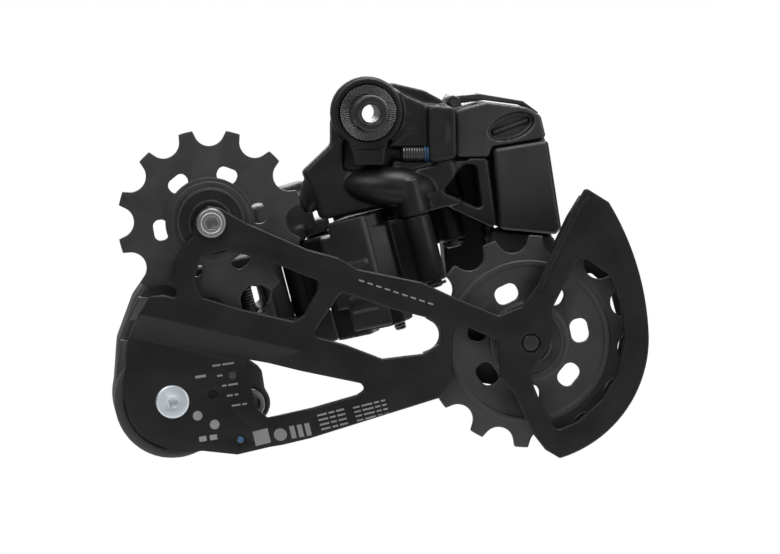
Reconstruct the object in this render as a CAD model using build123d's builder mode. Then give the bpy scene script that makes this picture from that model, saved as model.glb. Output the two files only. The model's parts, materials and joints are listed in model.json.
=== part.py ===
"""Wireless rear bicycle derailleur, long cage, twelve speeds.

+X points rearward, +Y outboard (away from the wheel), +Z up.
The origin is the hanger bolt axis in the plane of the hanger face.
"""
from build123d import *
from math import cos, radians, sin
import os

os.makedirs("parts", exist_ok=True)

# ---- driving dimensions, millimetres ----
CHAIN_PITCH = 12.7
ROLLER_R = 3.97
ROOT_GAP = 0.25
UPPER_TEETH = 12
LOWER_TEETH = 14
UPPER = (-44.0, -28.7)
LOWER = (42.1, -61.5)
PIVOT = (-54.1, -77.2)
PULLEY_Y = -15.5
INNER_FACE = -22.4
PLATE_T = 2.0
JOGGLE = 7.0
OUTER_FACE = -10.6
HOUSING_R = 15.4
HOUSING_FRONT = -12.8
HOUSING_BACK = 17.0
LINK_TILT = 14.6
LINK_LENGTH = 40.0
LINK_SWING = 30.0
PIN_R = 2.2
RUN = 0.05

# ---- the slanted frame of the four link pivots ----
TILT_C = cos(radians(LINK_TILT))
TILT_S = sin(radians(LINK_TILT))
LINKS = Plane(origin=(14.5, 0, -32), x_dir=(-TILT_C, 0, -TILT_S), z_dir=(TILT_S, 0, -TILT_C))
INNER_B = (0.0, 3.0)
OUTER_B = (-9.2, 16.0)
REACH = LINK_LENGTH * cos(radians(LINK_SWING))
RISE = LINK_LENGTH * sin(radians(LINK_SWING))
INNER_P = (INNER_B[0] + REACH, INNER_B[1] + RISE)
OUTER_P = (OUTER_B[0] + REACH, OUTER_B[1] + RISE)


def depth(y):
    """Side-view plane at a given Y; sketch x is X and sketch y is Z."""
    return Plane.XZ.offset(-y)


def link_plane(pivot):
    """Plane along one link: x runs to the far pivot, y points outboard."""
    swing = radians(LINK_SWING)
    start = LINKS.from_local_coords((pivot[0], pivot[1], 0))
    along = (-TILT_C * cos(swing), sin(swing), -TILT_S * cos(swing))
    return Plane(origin=start, x_dir=along, z_dir=(TILT_S, 0, -TILT_C))


def save(part, name):
    part.label = name
    export_step(part, "parts/" + name + ".step")


def block(points, radius, start, end):
    """Rounded side-view outline from one depth to another, as a separate solid."""
    with BuildPart(mode=Mode.PRIVATE) as made:
        with BuildSketch(depth(start)) as shape:
            with BuildLine():
                Polyline(*points, close=True)
            make_face()
            if radius > 0:
                fillet(shape.vertices(), radius)
        extrude(amount=start - end)
    return made.part


def disc(centre, radius, start, end):
    """Round bar along Y, as a separate solid."""
    with BuildPart(mode=Mode.PRIVATE) as made:
        with BuildSketch(depth(start)):
            with Locations(centre):
                Circle(radius)
        extrude(amount=start - end)
    return made.part


def post(plane, centre, radius, low, high):
    """Round bar along the slanted pivot direction, as a separate solid."""
    with BuildPart(mode=Mode.PRIVATE) as made:
        with BuildSketch(plane.offset(low)):
            with Locations(centre):
                Circle(radius)
        extrude(amount=high - low)
    return made.part


def slab(plane, points, radius, low, high):
    """Rounded outline drawn in a slanted plane, as a separate solid."""
    with BuildPart(mode=Mode.PRIVATE) as made:
        with BuildSketch(plane.offset(low)) as shape:
            with BuildLine():
                Polyline(*points, close=True)
            make_face()
            if radius > 0:
                fillet(shape.vertices(), radius)
        extrude(amount=high - low)
    return made.part


# =====================================================================
# Hanger end: bolt, bushing, serrated ring, stop plate
# =====================================================================
BOLT_R = 5.0
BOLT_BORE = 2.45
BUSH_R = 7.2

with BuildPart() as hanger_bolt:
    with BuildSketch(depth(-8.5)):
        Circle(BOLT_R)
    extrude(amount=-22.5)
    with BuildSketch(depth(14.0)):
        Circle(7.0)
    extrude(amount=-3.0)
    chamfer(hanger_bolt.edges().filter_by(GeomType.CIRCLE).group_by(Axis.Y)[0], 0.6)
    with BuildSketch(depth(-8.5)):
        Circle(BOLT_BORE)
    extrude(amount=-30, mode=Mode.SUBTRACT)
    with BuildSketch(depth(17.0)):
        RegularPolygon(3.4, 6)
    extrude(amount=5.0, mode=Mode.SUBTRACT)
    with BuildSketch(depth(0.0)):
        Circle(BOLT_R + 0.1)
        Circle(BOLT_R - 0.5, mode=Mode.SUBTRACT)
    extrude(amount=-0.9, mode=Mode.SUBTRACT)
save(hanger_bolt.part, "hanger_bolt")

with BuildPart() as hanger_bushing:
    with BuildSketch(depth(1.2)):
        Circle(BUSH_R)
        Circle(BOLT_R + RUN, mode=Mode.SUBTRACT)
    extrude(amount=-12.4)
save(hanger_bushing.part, "hanger_bushing")

with BuildPart() as serrated_ring:
    with BuildSketch(depth(0.0)):
        Circle(7.65)
        Circle(BOLT_R + 0.1, mode=Mode.SUBTRACT)
    extrude(amount=-1.2)
    with BuildSketch(depth(0.0)):
        with PolarLocations(6.6, 36):
            Rectangle(2.6, 0.32)
    extrude(amount=-0.35, mode=Mode.SUBTRACT)
save(serrated_ring.part, "serrated_ring")

with BuildPart() as bolt_clip:
    with BuildSketch(depth(17.2)):
        Circle(8.2)
        Circle(6.0, mode=Mode.SUBTRACT)
        with Locations((0, -7.5)):
            Rectangle(3.0, 4.0, mode=Mode.SUBTRACT)
    extrude(amount=-0.8)
save(bolt_clip.part, "bolt_clip")

with BuildPart() as b_stop_plate:
    with BuildSketch(depth(1.4)):
        Circle(9.3)
        with BuildLine():
            Polyline((-5.4, -7.0), (5.4, -7.0), (4.2, -14.0), (-3.6, -14.0), close=True)
        make_face()
        Circle(7.9, mode=Mode.SUBTRACT)
    extrude(amount=-1.6)
    with BuildSketch(depth(0.2)):
        with BuildLine():
            Polyline((-4.4, -10.2), (4.6, -10.2), (4.2, -14.0), (-3.6, -14.0), close=True)
        make_face()
    extrude(amount=-1.4)
    with BuildSketch(depth(3.0)):
        with BuildLine():
            Polyline((1.2, -10.6), (4.6, -10.6), (4.2, -14.0), (1.2, -14.0), close=True)
        make_face()
    extrude(amount=-3.2)
save(b_stop_plate.part, "b_stop_plate")

# =====================================================================
# B-knuckle casting
# =====================================================================
FRONT_CAST = [
    (-9.6, -2.0),
    (-9.6, -8.8),
    (-17.6, -16.4),
    (-14.2, -22.0),
    (-12.6, -29.4),
    (-6.8, -28.2),
    (6.8, -24.8),
    (9.4, -26.0),
    (14.6, -27.2),
    (17.2, -23.4),
    (33.6, -31.0),
    (36.0, -32.6),
    (33.2, -12.6),
    (24.4, -12.6),
    (24.0, 1.3),
    (16.6, 1.9),
    (9.3, 5.0),
    (4.0, 9.0),
]
TRIANGLE = [(26.8, -14.2), (30.2, -14.4), (31.9, -26.9), (20.6, -21.8)]
REAR_CAST = [
    (7.4, 7.9),
    (16.4, 5.8),
    (23.0, 2.2),
    (23.2, -12.0),
    (14.0, -20.0),
    (-6.0, -18.0),
    (-7.0, 0.0),
]
SKIRT = [(-12.5, 19.0), (-9.2, 20.6), (20.2, 37.6), (20.2, 39.8), (8.0, 39.8), (-12.5, 33.0)]
BACK_WALL = [
    (23.8, -12.7),
    (31.2, -12.7),
    (34.4, -36.2),
    (35.0, -43.0),
    (31.0, -48.6),
    (23.6, -46.6),
    (22.4, -34.0),
]

with BuildPart() as b_knuckle:
    with BuildSketch(depth(3.3)):
        Circle(9.8)
    extrude(amount=-5.7)
    with BuildSketch(depth(8.5)):
        Circle(9.2)
    extrude(amount=-8.5)
    add(block(FRONT_CAST, 1.2, 4.6, 12.0))
    add(block(BACK_WALL, 1.2, 20.8, 32.0))
    add(block([(23.6, -2.0), (15.0, -2.0), (15.0, -13.6), (23.8, -13.6)], 0.4, 14.0, 30.0))
    add(block(REAR_CAST, 1.2, 11.5, 27.0))
    add(slab(LINKS, [(-15, 3.4), (5, 3.4), (5, 11), (-5, 22), (-15, 22)], 3.0, -16.0, -4.3))
    add(post(LINKS, INNER_B, 4.0, -14.0, -4.3))
    add(slab(LINKS, SKIRT, 0.8, -14.0, -1.5))
    add(block([(16.6, 1.9), (24.0, 1.3), (24.4, -12.4), (16.9, -13.7)], 1.2, 1.4, 6.0))
    add(block(TRIANGLE, 0.9, 0, 20), mode=Mode.SUBTRACT)
    with BuildSketch(depth(1.0)):
        Circle(BUSH_R)
    extrude(amount=-12.6, mode=Mode.SUBTRACT)
    with BuildSketch(depth(13.0)):
        Circle(8.6)
    extrude(amount=-20, mode=Mode.SUBTRACT)
    add(block([(-6.6, -7.2), (7.0, -7.2), (7.0, -16.0), (-6.6, -16.0)],
              1.0, 0, 7.0), mode=Mode.SUBTRACT)
    with BuildSketch(Plane.YZ.offset(2.0)):
        with Locations((5.0, -11.4)):
            Circle(2.0 + RUN)
    extrude(amount=26, mode=Mode.SUBTRACT)
    add(post(LINKS, INNER_B, PIN_R, -14.0, 0.0), mode=Mode.SUBTRACT)
    add(post(LINKS, OUTER_B, PIN_R, -14.0, 0.0), mode=Mode.SUBTRACT)
save(b_knuckle.part, "b_knuckle")

with BuildPart() as b_adjust_screw:
    with BuildSketch(Plane.YZ.offset(9.4)):
        with Locations((5.0, -11.4)):
            Circle(2.0)
    extrude(amount=13.2)
    with BuildSketch(Plane.YZ.offset(22.6)):
        with Locations((5.0, -11.4)):
            RegularPolygon(1.4, 6)
    extrude(amount=-2.4, mode=Mode.SUBTRACT)
    chamfer(b_adjust_screw.edges().filter_by(GeomType.CIRCLE).group_by(Axis.X)[0], 0.5)
save(b_adjust_screw.part, "b_adjust_screw")


def pivot_pin(name, pivot, low, high):
    with BuildPart() as pin:
        add(post(LINKS, pivot, PIN_R, low, high))
        chamfer(pin.edges().filter_by(GeomType.CIRCLE), 0.25)
    save(pin.part, name)


pivot_pin("inner_pin_b", INNER_B, -14.0, 16.4)
pivot_pin("outer_pin_b", OUTER_B, -14.0, 8.0)
pivot_pin("inner_pin_p", INNER_P, -8.0, 20.0)
pivot_pin("outer_pin_p", OUTER_P, -8.0, 16.0)

with BuildPart() as pin_clips:
    for pivot, level in ((INNER_B, 15.1), (OUTER_B, 6.6)):
        with BuildSketch(LINKS.offset(level)):
            with Locations(pivot):
                Circle(3.4)
                Circle(PIN_R, mode=Mode.SUBTRACT)
        extrude(amount=0.7)
save(pin_clips.part, "pin_clips")

# =====================================================================
# Battery seat, battery and latch
# =====================================================================
SEAT_CAP = [
    (24.4, 0.4),
    (33.0, 2.6),
    (43.8, 1.2),
    (47.8, -1.0),
    (49.3, -7.0),
    (34.3, -9.4),
    (33.6, -12.2),
    (24.8, -12.2),
]
SEAT_LIP = [
    (35.0, -32.7),
    (48.0, -34.2),
    (52.4, -34.8),
    (52.6, -38.4),
    (49.6, -41.0),
    (43.0, -40.0),
    (35.4, -38.6),
]

LATCH_AXIS = (24.6, 2.8)
MODE_BUTTON = (29.4, -2.6)
CONTACTS = [(17.0, -14.0), (20.0, -14.0), (23.0, -14.0), (26.0, -14.0)]

with BuildPart() as battery_mount:
    add(block(SEAT_CAP, 1.0, 15.4, 36.0))
    with BuildSketch(depth(4.6)) as cap_front:
        with BuildLine():
            Polyline(*SEAT_CAP, close=True)
        make_face()
        fillet(cap_front.vertices(), 1.0)
    extrude(amount=-11.0)
    add(block([(31.6, -8.0), (33.8, -8.0), (36.1, -32.3), (36.0, -36.0), (34.6, -35.0)],
              0.4, 15.4, 33.0))
    add(block(SEAT_LIP, 0.8, 10.0, 30.0))
    with BuildSketch(depth(4.6)):
        with Locations(Location((39.8, -3.9), 20)):
            Ellipse(6.6, 3.5)
    extrude(amount=-3.0, mode=Mode.SUBTRACT)
    with BuildSketch(depth(6.8)):
        with Locations(Location((39.8, -3.9), 20)):
            Rectangle(10.4, 0.9)
    extrude(amount=-1.2)
    for start in (12.2, 28.3):
        add(block([(24.6, -2.0), (23.5, 3.4), (24.2, 4.6), (26.2, 3.8), (27.2, 0.0)],
                  0.5, start, start + 1.5))
    add(disc(LATCH_AXIS, 0.8, 11.0, 31.0), mode=Mode.SUBTRACT)
    add(disc(MODE_BUTTON, 2.2 + RUN, 33.6, 37.0), mode=Mode.SUBTRACT)
    with BuildSketch(Plane.YZ.offset(30.0)):
        with Locations(*CONTACTS):
            Circle(0.7)
    extrude(amount=8.0, mode=Mode.SUBTRACT)
save(battery_mount.part, "battery_mount")

BATTERY = [(34.8, -10.0), (49.8, -7.6), (53.6, -31.8), (52.1, -33.6), (36.9, -32.1)]
with BuildPart() as battery:
    with BuildSketch(depth(3.4)) as pack_shape:
        with BuildLine():
            Polyline(*BATTERY, close=True)
        make_face()
        fillet(pack_shape.vertices(), 1.2)
    extrude(amount=-32.0)
    chamfer(battery.faces().sort_by(Axis.Y)[0].edges(), 0.8)
    chamfer(battery.faces().sort_by(Axis.Y)[-1].edges(), 0.8)
save(battery.part, "battery")

with BuildPart() as battery_contacts:
    with BuildSketch(Plane.YZ.offset(32.7)):
        with Locations(*CONTACTS):
            Circle(0.7)
    extrude(amount=2.1)
save(battery_contacts.part, "battery_contacts")

LATCH = [
    (24.6, 2.0),
    (24.6, 4.2),
    (32.0, 4.9),
    (44.0, 2.9),
    (48.4, -0.3),
    (48.0, -0.8),
    (43.9, 1.7),
    (33.2, 3.1),
]

with BuildPart() as battery_latch:
    add(block(LATCH, 0.3, 14.0, 28.0))
    add(disc(LATCH_AXIS, 1.6, 14.0, 28.0))
    add(block([(31.6, 2.0), (35.4, 2.0), (35.4, 8.0), (31.6, 8.0)],
              0.6, 17.0, 25.0), mode=Mode.SUBTRACT)
    add(disc(LATCH_AXIS, 0.8 + RUN, 13.0, 29.0), mode=Mode.SUBTRACT)
save(battery_latch.part, "battery_latch")

with BuildPart() as latch_pin:
    add(disc(LATCH_AXIS, 0.8, 12.2, 29.8))
save(latch_pin.part, "latch_pin")

# =====================================================================
# Inner link: gearbox housing with motor and gears
# =====================================================================
BOSS_R = 3.5
HIGH_LIMIT = (12.6, -1.4)
INNER_LINK = link_plane(INNER_B)
OUTER_LINK = link_plane(OUTER_B)

with BuildPart() as gearbox_housing:
    add(slab(INNER_LINK, [(8, 2.4), (29, 2.4), (29, -4), (26, -9), (12, -9), (8, -4)], 1.5, -4.0, 16.0))
    add(slab(INNER_LINK, [(9.5, 2.4), (22, 2.4), (22, -9), (12, -9), (9.5, -5)], 1.5, -7.8, 23.4))
    add(slab(INNER_LINK, [(18, -2.4), (28.4, -4.4), (28.4, -9), (18, -9)], 0.8, 9.0, 24.4))
    add(slab(INNER_LINK, [(0, 2.0), (40, 2.0), (40, -1.6), (0, -1.6)], 0, -4.0, 14.4))
    add(post(INNER_LINK, (0, 0), BOSS_R, -4.0, 14.6))
    add(post(INNER_LINK, (LINK_LENGTH, 0), BOSS_R, -4.0, 16.0))
    add(slab(INNER_LINK, [(11.4, 0.6), (20.2, 0.6), (20.2, -10), (13, -10), (11.4, -6)],
             0.8, -6.0, 20.8),
        mode=Mode.SUBTRACT)
    add(slab(INNER_LINK, [(20, 0.6), (27.2, 0.6), (27.2, -4), (25, -10), (20, -10)], 0.8, -2.2, 14.2),
        mode=Mode.SUBTRACT)
    add(post(INNER_LINK, (0, 0), PIN_R + RUN, -5, 19), mode=Mode.SUBTRACT)
    add(post(INNER_LINK, (LINK_LENGTH, 0), PIN_R + RUN, -5, 19), mode=Mode.SUBTRACT)
    add(post(INNER_LINK, HIGH_LIMIT, 1.5 + RUN, 18, 24), mode=Mode.SUBTRACT)
save(gearbox_housing.part, "gearbox_housing")

with BuildPart() as gearbox_cover:
    add(slab(INNER_LINK, [(10.2, -9.0), (21.9, -9.0), (21.9, -11.0), (11.2, -11.0)], 0.6, -7.8, 22.6))
    add(slab(INNER_LINK, [(20.0, -9.0), (26.4, -9.0), (24.6, -11.0), (20.0, -11.0)], 0.3, -4.0, 16.0))
    for level in (4.0, 8.0, 12.0, 16.0):
        add(slab(INNER_LINK, [(12.6, -10.8), (20.6, -10.8), (20.6, -11.8), (12.6, -11.8)],
                 0.2, level, level + 1.4))
save(gearbox_cover.part, "gearbox_cover")

with BuildPart() as drive_motor:
    add(post(INNER_LINK, (15.8, -4.2), 3.6, 2.0, 20.4))
    add(post(INNER_LINK, (15.8, -4.2), 0.6, -0.6, 2.2))
save(drive_motor.part, "drive_motor")


def gear(plane, centre, teeth, radius, bore, low, high):
    """Small spur gear with square teeth on a slanted plane."""
    with BuildPart(mode=Mode.PRIVATE) as wheel:
        with BuildSketch(plane.offset(low)):
            with Locations(centre):
                Circle(radius - 0.5)
                with PolarLocations(radius - 0.5, teeth):
                    Rectangle(1.0, 1.5 * radius / teeth)
                Circle(bore, mode=Mode.SUBTRACT)
        extrude(amount=high - low)
    return wheel.part


with BuildPart() as motor_pinion:
    add(gear(INNER_LINK, (15.8, -4.2), 8, 2.0, 0.65, -0.6, 1.6))
save(motor_pinion.part, "motor_pinion")

with BuildPart() as reduction_gear:
    add(gear(INNER_LINK, (22.4, -4.2), 22, 4.1, 0.85, -0.6, 1.2))
    add(gear(INNER_LINK, (22.4, -4.2), 9, 1.8, 0.85, 1.2, 4.4))
save(reduction_gear.part, "reduction_gear")

with BuildPart() as reduction_axle:
    add(post(INNER_LINK, (22.4, -4.2), 0.8, -2.2, 14.2))
save(reduction_axle.part, "reduction_axle")

with BuildPart() as circuit_board:
    add(slab(INNER_LINK, [(12.0, 0.2), (19.8, 0.2), (19.8, -0.4), (12.0, -0.4)], 0, -5.0, 20.0))
save(circuit_board.part, "circuit_board")

# =====================================================================
# Outer link
# =====================================================================
with BuildPart() as outer_link:
    add(slab(OUTER_LINK, [(0, 2.0), (10, 3.4), (30, 3.4), (40, 2.0), (40, -2.0), (0, -2.0)],
             0.6, -4.0, 6.0))
    add(slab(OUTER_LINK, [(22, 3.4), (40, 2.2), (40, -2.0), (22, -2.0)], 0.6, 2.0, 12.0))
    add(post(OUTER_LINK, (0, 0), BOSS_R, -4.0, 6.0))
    add(post(OUTER_LINK, (LINK_LENGTH, 0), BOSS_R, -4.0, 12.0))
    add(slab(OUTER_LINK, [(8, 4), (18, 4), (18, 1.0), (8, 1.0)], 0.8, -1.5, 3.5), mode=Mode.SUBTRACT)
    add(post(OUTER_LINK, (0, 0), PIN_R + RUN, -5, 19), mode=Mode.SUBTRACT)
    add(post(OUTER_LINK, (LINK_LENGTH, 0), PIN_R + RUN, -5, 19), mode=Mode.SUBTRACT)
save(outer_link.part, "outer_link")

# =====================================================================
# P-knuckle: clutch housing with the fork for both links
# =====================================================================
SPINE = [
    (-69.3, -77.0),
    (-68.2, -61.8),
    (-65.7, -55.0),
    (-63.8, -49.9),
    (-60.1, -44.7),
    (-30.0, -38.0),
    (-22.6, -37.2),
    (-29.6, -58.0),
    (-38.4, -66.0),
    (-41.0, -77.0),
]
FORK = [
    (30.0, 19.0),
    (39.0, 15.0),
    (50.0, 15.0),
    (50.0, 34.0),
    (36.0, 38.6),
    (30.0, 39.6),
    (23.2, 40.2),
    (21.6, 36.0),
    (23.2, 32.4),
    (29.6, 27.6),
]
LOWER_FORK = [(39.0, 30.0), (46.0, 28.0), (46.0, 36.0), (39.0, 40.0), (25.4, 40.2), (21.4, 36.2), (25.2, 32.2)]
BUTTON = (-32.9, -78.6)
LOW_LIMIT = (50.4, 5.0)
LIMIT_R = 1.5
SIGHT_SLOT = [(46.0, -10.0), (48.8, -10.0), (48.8, 45.0), (46.0, 45.0)]

with BuildPart() as p_knuckle:
    add(disc(PIVOT, HOUSING_R, HOUSING_FRONT, HOUSING_BACK))
    add(block(SPINE, 1.5, -4.0, 16.8))
    add(slab(LINKS, [(38.6, 14.0), (52.0, 12.0), (52.0, 36.0), (38.6, 40.0)], 2.0, -8.0, 20.0))
    add(disc(BUTTON, 5.6, -6.0, 8.0))
    add(block([(-46, -65), (-35.4, -65.6), (-29.6, -69.6), (-28.6, -76), (-33, -84.0), (-46, -88)],
              0.8, -6.0, 8.0))
    add(slab(LINKS, [(10, -20), (43.4, -20), (43.4, 19.0), (38.6, 21.0), (38.6, 46), (10, 46)],
             0, -4.3, 16.3),
        mode=Mode.SUBTRACT)
    add(slab(LINKS, [(10, -20), (36.0, -20), (36.0, 46), (10, 46)], 0, -30.0, 60.0), mode=Mode.SUBTRACT)
    add(slab(LINKS, FORK, 2.0, -8.0, -4.3))
    add(slab(LINKS, [(26.2, 24.0), (34.0, 17.0), (44.0, 15.0), (45.0, 34.0), (36.0, 40.0), (26.2, 40.0)],
             2.0, -16.8, -7.0))
    add(slab(LINKS, [(26.2, 27.0), (31.0, 22.0), (37.0, 21.0), (37.0, 34.0), (26.2, 37.0)],
             2.0, -19.6, -16.0))
    add(slab(LINKS, [(27.0, 19.4), (36.0, 15.6), (46.0, 14.0), (46.0, 30.0), (34.4, 29.0)],
             2.0, 16.3, 25.0))
    add(slab(LINKS, LOWER_FORK, 1.5, 12.3, 16.0))
    with BuildSketch(depth(HOUSING_FRONT)):
        with Locations(PIVOT):
            Circle(12.6)
    extrude(amount=-(HOUSING_BACK - HOUSING_FRONT - 2.4), mode=Mode.SUBTRACT)
    with BuildSketch(depth(HOUSING_FRONT)):
        with Locations(PIVOT):
            Circle(5.0)
    extrude(amount=-40, mode=Mode.SUBTRACT)
    add(disc(BUTTON, 4.2 + RUN, -7.0, 5.0), mode=Mode.SUBTRACT)
    for pivot in (INNER_P, OUTER_P):
        add(post(LINKS, pivot, PIN_R, -9.0, 21.0), mode=Mode.SUBTRACT)
    add(slab(LINKS, [(48.0, -10.0), (52.8, -10.0), (52.8, 8.0), (48.0, 8.0)],
             0.6, 2.6, 10.4), mode=Mode.SUBTRACT)
    add(slab(LINKS, SIGHT_SLOT, 0.4, 3.0, 10.4), mode=Mode.SUBTRACT)
    add(post(LINKS, LOW_LIMIT, LIMIT_R + RUN, -4.0, 20.0), mode=Mode.SUBTRACT)
save(p_knuckle.part, "p_knuckle")

with BuildPart() as cage_lock_button:
    add(disc(BUTTON, 4.2, -7.4, 2.0))
    add(disc(BUTTON, 2.6, -7.4, -6.6), mode=Mode.SUBTRACT)
save(cage_lock_button.part, "cage_lock_button")


def coil(name, centre, radius, wire, start, end, turns):
    """Coil of round wire along Y."""
    travel = end - start - 2 * wire
    with BuildPart() as made:
        with BuildLine() as path:
            Helix(travel / turns, travel, radius, center=(centre[0], start + wire, centre[1]), direction=(0, 1, 0))
        with BuildSketch(Plane(origin=path.line @ 0, z_dir=path.line % 0)):
            Circle(wire)
        sweep(is_frenet=True)
    save(made.part, name)


coil("lock_spring", BUTTON, 3.0, 0.3, 2.1, 4.9, 3)
coil("cage_spring", PIVOT, 9.0, 0.9, -6.0, 12.0, 6)

with BuildPart() as cage_shaft:
    add(disc(PIVOT, 4.9, -13.4, HOUSING_BACK + 2.4))
    add(disc(PIVOT, 2.0, -14, 0.0), mode=Mode.SUBTRACT)
save(cage_shaft.part, "cage_shaft")

with BuildPart() as roller_clutch:
    add(disc(PIVOT, 6.6, -4.0, 12.0))
    add(disc(PIVOT, 4.9 + RUN, -5.0, 13.0), mode=Mode.SUBTRACT)
save(roller_clutch.part, "roller_clutch")

with BuildPart() as front_seal:
    add(disc(PIVOT, 12.5, -12.6, -10.6))
    add(disc(PIVOT, 4.9 + RUN, -14.0, -8.0), mode=Mode.SUBTRACT)
save(front_seal.part, "front_seal")

with BuildPart() as clutch_cover:
    with BuildSketch(depth(HOUSING_BACK)):
        with Locations(PIVOT):
            Circle(HOUSING_R)
            Circle(5.4, mode=Mode.SUBTRACT)
    extrude(amount=-2.2)
    rims = clutch_cover.edges().filter_by(GeomType.CIRCLE).group_by(Axis.Y)[-1]
    fillet(rims.sort_by(SortBy.LENGTH)[-1], 1.4)
    with BuildSketch(depth(HOUSING_BACK)):
        with Locations(PIVOT):
            with PolarLocations(12.2, 4, start_angle=45):
                Circle(1.1)
    extrude(amount=-3, mode=Mode.SUBTRACT)
save(clutch_cover.part, "clutch_cover")

with BuildPart() as clutch_screws:
    with BuildSketch(depth(HOUSING_BACK)):
        with Locations(PIVOT):
            with PolarLocations(12.2, 4, start_angle=45):
                Circle(1.1)
    extrude(amount=-2.4)
    with BuildSketch(depth(HOUSING_BACK + 2.4)):
        with Locations(PIVOT):
            with PolarLocations(12.2, 4, start_angle=45):
                RegularPolygon(0.6, 6)
    extrude(amount=1.2, mode=Mode.SUBTRACT)
save(clutch_screws.part, "clutch_screws")

# =====================================================================
# Cage
# =====================================================================
CAGE = [
    (-49.0, -32.4),
    (-48.4, -27.6),
    (-45.0, -24.2),
    (-41.6, -24.7),
    (-34.6, -28.8),
    (-18.1, -36.0),
    (-9.9, -38.2),
    (-4.7, -41.3),
    (12.5, -44.9),
    (21.2, -49.0),
    (33.3, -54.0),
    (39.6, -51.6),
    (43.9, -45.6),
    (52.7, -26.8),
    (56.8, -19.7),
    (63.1, -23.6),
]
CAGE_LOWER = [
    (46.1, -90.4),
    (42.3, -85.5),
    (37.9, -75.6),
    (33.8, -70.9),
    (33.3, -60.8),
    (22.1, -55.9),
    (21.0, -58.0),
    (20.7, -72.0),
    (17.7, -76.0),
    (-24.7, -88.9),
    (-36.7, -91.6),
    (-46.2, -90.5),
]
CAGE_LEFT = [
    (-66.8, -68.3),
    (-66.3, -62.0),
    (-64.9, -56.9),
    (-60.4, -48.2),
    (-56.6, -48.0),
    (-52.6, -49.0),
]
WINDOW_UPPER = [
    (-48.4, -43.4),
    (-46.6, -37.8),
    (-39.8, -35.9),
    (-27.7, -39.5),
    (-15.2, -44.4),
    (-15.6, -47.2),
    (-19.2, -53.6),
    (-22.0, -55.2),
    (-36.7, -51.7),
    (-46.6, -48.6),
]
WINDOW_MIDDLE = [
    (-12.1, -51.9),
    (-9.2, -47.4),
    (4.3, -52.0),
    (14.9, -54.7),
    (17.6, -57.4),
    (17.6, -61.4),
    (13.0, -64.2),
    (2.0, -65.5),
    (-8.0, -61.6),
    (-17.2, -59.0),
]
WINDOW_LOWER = [
    (-35.0, -65.6),
    (-28.3, -66.8),
    (-3.9, -72.0),
    (-2.6, -73.6),
    (-4.8, -75.1),
    (-28.4, -81.8),
    (-31.4, -79.2),
]
FIN_WINDOW = [
    (54.9, -38.6),
    (57.8, -39.2),
    (63.4, -43.3),
    (66.4, -50.1),
    (67.6, -60.0),
    (65.3, -70.6),
    (61.4, -76.8),
    (54.6, -82.8),
    (49.0, -85.2),
    (44.5, -77.0),
    (41.6, -70.0),
    (47.6, -61.5),
    (47.8, -52.2),
]


# The step between the near arms and the pivot area follows these two lines.
STEP_UPPER = ((-63.9, -60.0), (-32.7, -67.4))
STEP_LOWER = ((-31.0, -64.8), (-27.0, -95.0))
STEP_RUN = 7.0
ARM_RUN = 11.0


def cage_face():
    """Whole outline of the inner plate."""
    with BuildSketch(mode=Mode.PRIVATE) as face:
        with BuildLine():
            Polyline(*CAGE)
            ThreePointArc(CAGE[-1], (71.0, -41.2), (74.0, -58.0))
            ThreePointArc((74.0, -58.0), (67.2, -80.9), (50.0, -92.7))
            Line((50.0, -92.7), CAGE_LOWER[0])
            Polyline(*CAGE_LOWER)
            ThreePointArc(CAGE_LOWER[-1], (-62.0, -85.9), CAGE_LEFT[0])
            Polyline(*CAGE_LEFT)
            ThreePointArc(CAGE_LEFT[-1], (-53.9, -42.6), CAGE[0])
        make_face()
        fillet(face.vertices(), 0.9)
    return face.sketch


def window(points, radius):
    """One rounded opening."""
    with BuildSketch(mode=Mode.PRIVATE) as face:
        with BuildLine():
            Polyline(*points, close=True)
        make_face()
        fillet(face.vertices(), radius)
    return face.sketch


def step_space(line, profile):
    """Space on one side of the plate near a step; profile points are (Y, distance above the line)."""
    along = Vector(line[1][0] - line[0][0], 0, line[1][1] - line[0][1])
    across = Plane(origin=(line[0][0], 0, line[0][1]), x_dir=(0, 1, 0), z_dir=tuple(along))
    with BuildPart(mode=Mode.PRIVATE) as made:
        with BuildSketch(across.offset(-200)):
            with BuildLine():
                Polyline(*profile, close=True)
            make_face()
        extrude(amount=400)
    return made.part


DEEP_FACE = INNER_FACE + JOGGLE


def front_profile(run):
    """Section of the space in front of the plate, as (Y, distance above the step line)."""
    return [(-60, 180), (INNER_FACE, 180), (INNER_FACE, run), (DEEP_FACE, 0), (DEEP_FACE, -180), (-60, -180)]


def back_profile(run):
    """Section of the space behind the plate."""
    shift = PLATE_T * 0.65
    inner = INNER_FACE + PLATE_T
    deep = DEEP_FACE + PLATE_T
    return [(60, 180), (inner, 180), (inner, run + shift), (deep, shift), (deep, -180), (60, -180)]


STOP_PIN = (-38.0, -70.2)
STOP_SCREW = (-35.9, -87.5)
SMALL_HOLE = (-43.3, -75.2)

with BuildPart(mode=Mode.PRIVATE) as front_space:
    add(step_space(STEP_UPPER, front_profile(STEP_RUN)))
    add(step_space(STEP_LOWER, front_profile(ARM_RUN)), mode=Mode.INTERSECT)

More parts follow.
